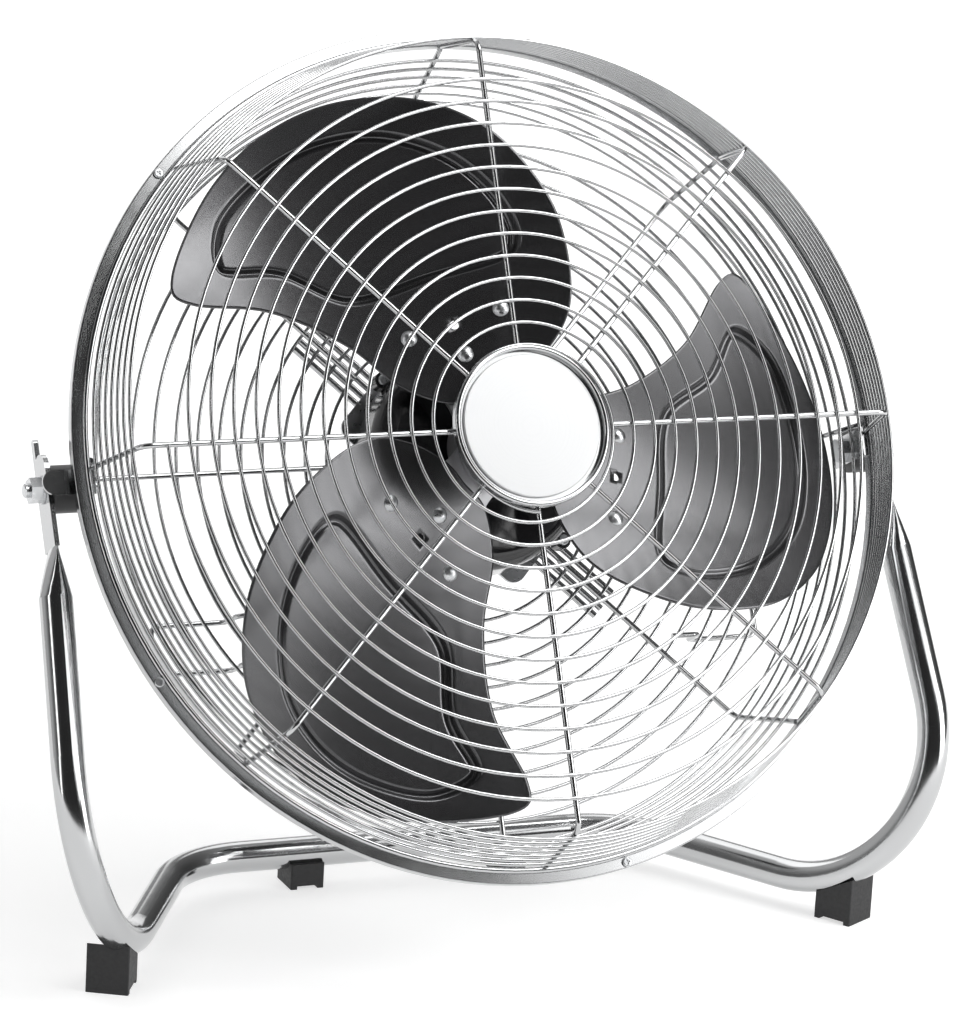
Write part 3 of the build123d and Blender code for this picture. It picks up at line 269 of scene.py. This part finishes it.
def blade_mesh():
    """One pressed blade as a single curved sheet in its own axes, in metres."""
    edge = smooth_loop(BLADE_EDGE)
    recess = smooth_loop(RECESS_EDGE)
    turns = [math.tau * index / BLADE_HOLE_POINTS for index in range(BLADE_HOLE_POINTS)]
    hole = [(BLADE_HOLE[0] + BLADE_HOLE_R * math.cos(turn), BLADE_HOLE[1] + BLADE_HOLE_R * math.sin(turn))
            for turn in turns]
    points = [tuple(point) for point in edge]
    links = closed_links(0, len(edge))
    points += hole
    links += closed_links(len(edge), BLADE_HOLE_POINTS)
    for amount in np.linspace(-RECESS_BORDER, GROOVE_WIDTH + RECESS_BORDER, RECESS_STRIPS):
        points += [tuple(point) for point in inset_loop(recess, amount)]
    points += [tuple(point) for point in inset_loop(edge, EDGE_STRIP)]
    for x in np.arange(*GRID_X, GRID_STEP):
        for y in np.arange(*GRID_Y, GRID_STEP):
            point = np.array((x, y))
            off_centre = abs(depth_inside(point, recess) - GROOVE_WIDTH / 2)
            clear = off_centre > GROOVE_WIDTH / 2 + RECESS_BORDER + GRID_RECESS_GAP
            if depth_inside(point, edge) > GRID_EDGE_GAP and clear:
                points.append((x, y))
    flat, _, faces, _, _, _ = delaunay_2d_cdt([Vector(p) for p in points], links, [], 1, 0.01)
    centre = np.array(BLADE_HOLE)
    kept = []
    for face in faces:
        middle = sum((np.array(flat[index]) for index in face)) / len(face)
        if np.linalg.norm(middle - centre) > BLADE_HOLE_R * 0.98 and depth_inside(middle, edge) > 0:
            kept.append(face)
    solid = [(p[0] * MM, p[1] * MM, (blade_height(p[0], p[1]) - recess_drop(np.array(p), recess)) * MM)
             for p in flat]
    mesh = bpy.data.meshes.new("blade_sheet")
    mesh.from_pydata(solid, [], kept)
    mesh.update()
    mesh.shade_smooth()
    return mesh


def head_matrix():
    """From the head's frame to the row's frame."""
    return Matrix.Translation(HEAD_CENTRE) @ Matrix.Rotation(math.radians(90 - HEAD_TILT), 4, "X")


def make_blades(materials):
    """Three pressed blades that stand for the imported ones."""
    mesh = blade_mesh()
    for index in range(BLADE_COUNT):
        copy = mesh.copy()
        turn = Matrix.Rotation(math.radians(BLADE_FIRST_DEG - 90 + 360 / BLADE_COUNT * index), 4, "Z")
        copy.transform(head_matrix() @ turn)
        name = "blade_" + str(index + 1)
        blade = bpy.data.objects.new("sheet_" + name, copy)
        bpy.context.collection.objects.link(blade)
        copy.materials.append(materials["blade_paint"])
        sheet = blade.modifiers.new("sheet", "SOLIDIFY")
        sheet.thickness = BLADE_SHEET * MM
        sheet.offset = -1.0
        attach(blade, "rotor")
        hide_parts(name)


# ---------------------------------------------------------------- camera, light and floor
def make_camera():
    """The camera at the reference view."""
    azimuth, elevation, roll = (math.radians(v) for v in (CAMERA_AZIMUTH, CAMERA_ELEVATION, CAMERA_ROLL))
    ahead = Vector((-math.sin(azimuth) * math.cos(elevation), math.cos(azimuth) * math.cos(elevation),
                    -math.sin(elevation)))
    right = Vector((math.cos(azimuth), math.sin(azimuth), 0.0))
    up = right.cross(ahead)
    rolled_right = math.cos(roll) * right + math.sin(roll) * up
    rolled_up = math.cos(roll) * up - math.sin(roll) * right
    data = bpy.data.cameras.new("camera")
    data.lens = CAMERA_LENS
    data.sensor_width = 36.0
    data.shift_x, data.shift_y = CAMERA_SHIFT
    camera = bpy.data.objects.new("camera", data)
    turn = Matrix((rolled_right, rolled_up, -ahead)).transposed()
    camera.matrix_world = Matrix.Translation(HEAD_CENTRE - ahead * CAMERA_DISTANCE) @ turn.to_4x4()
    bpy.context.collection.objects.link(camera)
    bpy.context.scene.camera = camera


def make_floor():
    """A pale floor, in line with the camera, that runs up into a backdrop."""
    radius = BACKDROP_BEND_R
    profile = [(-FLOOR_FRONT, 0.0), (FLOOR_BACK, 0.0)]
    profile += [(FLOOR_BACK + radius * math.sin(angle), radius - radius * math.cos(angle))
                for angle in np.linspace(0.1, math.pi / 2, BACKDROP_BEND_STEPS)]
    profile.append((FLOOR_BACK + radius, 4 * radius))
    points = [(side * FLOOR_HALF_WIDTH, y, z) for y, z in profile for side in (-1, 1)]
    faces = [(2 * k, 2 * k + 1, 2 * k + 3, 2 * k + 2) for k in range(len(profile) - 1)]
    mesh = bpy.data.meshes.new("floor")
    mesh.from_pydata(points, [], faces)
    mesh.transform(Matrix.Rotation(math.radians(CAMERA_AZIMUTH), 4, "Z"))
    mesh.shade_smooth()
    floor = bpy.data.objects.new("floor", mesh)
    bpy.context.collection.objects.link(floor)
    material, shader, nodes, links = new_material("pale_floor")
    shader.inputs["Base Color"].default_value = (*[FLOOR_GREY] * 3, 1.0)
    shader.inputs["Roughness"].default_value = 0.9
    shader.inputs["Specular IOR Level"].default_value = 0.1
    shader.inputs["Emission Color"].default_value = (1.0, 1.0, 1.0, 1.0)
    place = nodes.new("ShaderNodeTexCoord")
    distance = nodes.new("ShaderNodeVectorMath")
    distance.operation = "LENGTH"
    glow = nodes.new("ShaderNodeMapRange")
    glow.inputs["From Min"].default_value, glow.inputs["From Max"].default_value = FLOOR_GLOW_REACH
    glow.inputs["To Min"].default_value, glow.inputs["To Max"].default_value = FLOOR_GLOW
    links.new(place.outputs["Object"], distance.inputs[0])
    links.new(distance.outputs["Value"], glow.inputs["Value"])
    links.new(glow.outputs["Result"], shader.inputs["Emission Strength"])
    mesh.materials.append(material)


def make_world():
    """Studio surroundings: dark in front and at the right, pale everywhere else."""
    world = bpy.data.worlds.new("studio")
    world.use_nodes = True
    bpy.context.scene.world = world
    nodes = world.node_tree.nodes
    links = world.node_tree.links
    place = nodes.new("ShaderNodeTexCoord")
    darkest = nodes.new("ShaderNodeMath")
    darkest.operation = "MAXIMUM"
    for index, side in enumerate(DARK_SIDES):
        toward = nodes.new("ShaderNodeVectorMath")
        toward.operation = "DOT_PRODUCT"
        toward.inputs[1].default_value = side
        links.new(place.outputs["Generated"], toward.inputs[0])
        links.new(toward.outputs["Value"], darkest.inputs[index])
    shift = nodes.new("ShaderNodeMapRange")
    shift.inputs["From Min"].default_value = -1.0
    shift.inputs["From Max"].default_value = 1.0
    bands = nodes.new("ShaderNodeValToRGB")
    stops = bands.color_ramp.elements
    stops[0].color = (*[WORLD_FAR_GREY] * 3, 1.0)
    stops[1].color = (*[WORLD_BANDS[-1][1]] * 3, 1.0)
    for position, grey in WORLD_BANDS:
        stop = stops.new(position)
        stop.color = (grey, grey, grey, 1.0)
    background = nodes["Background"]
    background.inputs["Strength"].default_value = WORLD_STRENGTH
    links.new(darkest.outputs["Value"], shift.inputs["Value"])
    links.new(shift.outputs["Result"], bands.inputs["Fac"])
    links.new(bands.outputs["Color"], background.inputs["Color"])


def add_softbox(name, place, size, power):
    """A soft rectangular light aimed at the fan."""
    data = bpy.data.lights.new(name, "AREA")
    data.shape = "RECTANGLE"
    data.size, data.size_y = size
    data.energy = power
    light = bpy.data.objects.new(name, data)
    light.location = place
    light.rotation_mode = "QUATERNION"
    light.rotation_quaternion = (HEAD_CENTRE - Vector(place)).to_track_quat("-Z", "Y")
    bpy.context.collection.objects.link(light)


def make_lights():
    """Soft lights in front, at the right, above, at the left and behind."""
    for name, way, distance, size, power in SOFTBOXES:
        add_softbox(name, HEAD_CENTRE + Vector(way).normalized() * distance, size, power)


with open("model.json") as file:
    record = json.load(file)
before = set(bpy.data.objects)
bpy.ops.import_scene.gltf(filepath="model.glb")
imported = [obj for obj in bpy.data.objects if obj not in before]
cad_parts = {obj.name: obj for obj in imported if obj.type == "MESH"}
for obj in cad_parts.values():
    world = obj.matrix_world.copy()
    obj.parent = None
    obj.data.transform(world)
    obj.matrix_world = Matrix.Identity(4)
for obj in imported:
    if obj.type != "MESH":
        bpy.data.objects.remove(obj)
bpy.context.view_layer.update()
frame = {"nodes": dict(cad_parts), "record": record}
materials = make_materials()
dress_cad_nodes(frame, materials)
make_blades(materials)
make_floor()
make_world()
make_lights()
make_camera()
bpy.context.scene.view_settings.view_transform = "Standard"
bpy.context.view_layer.update()
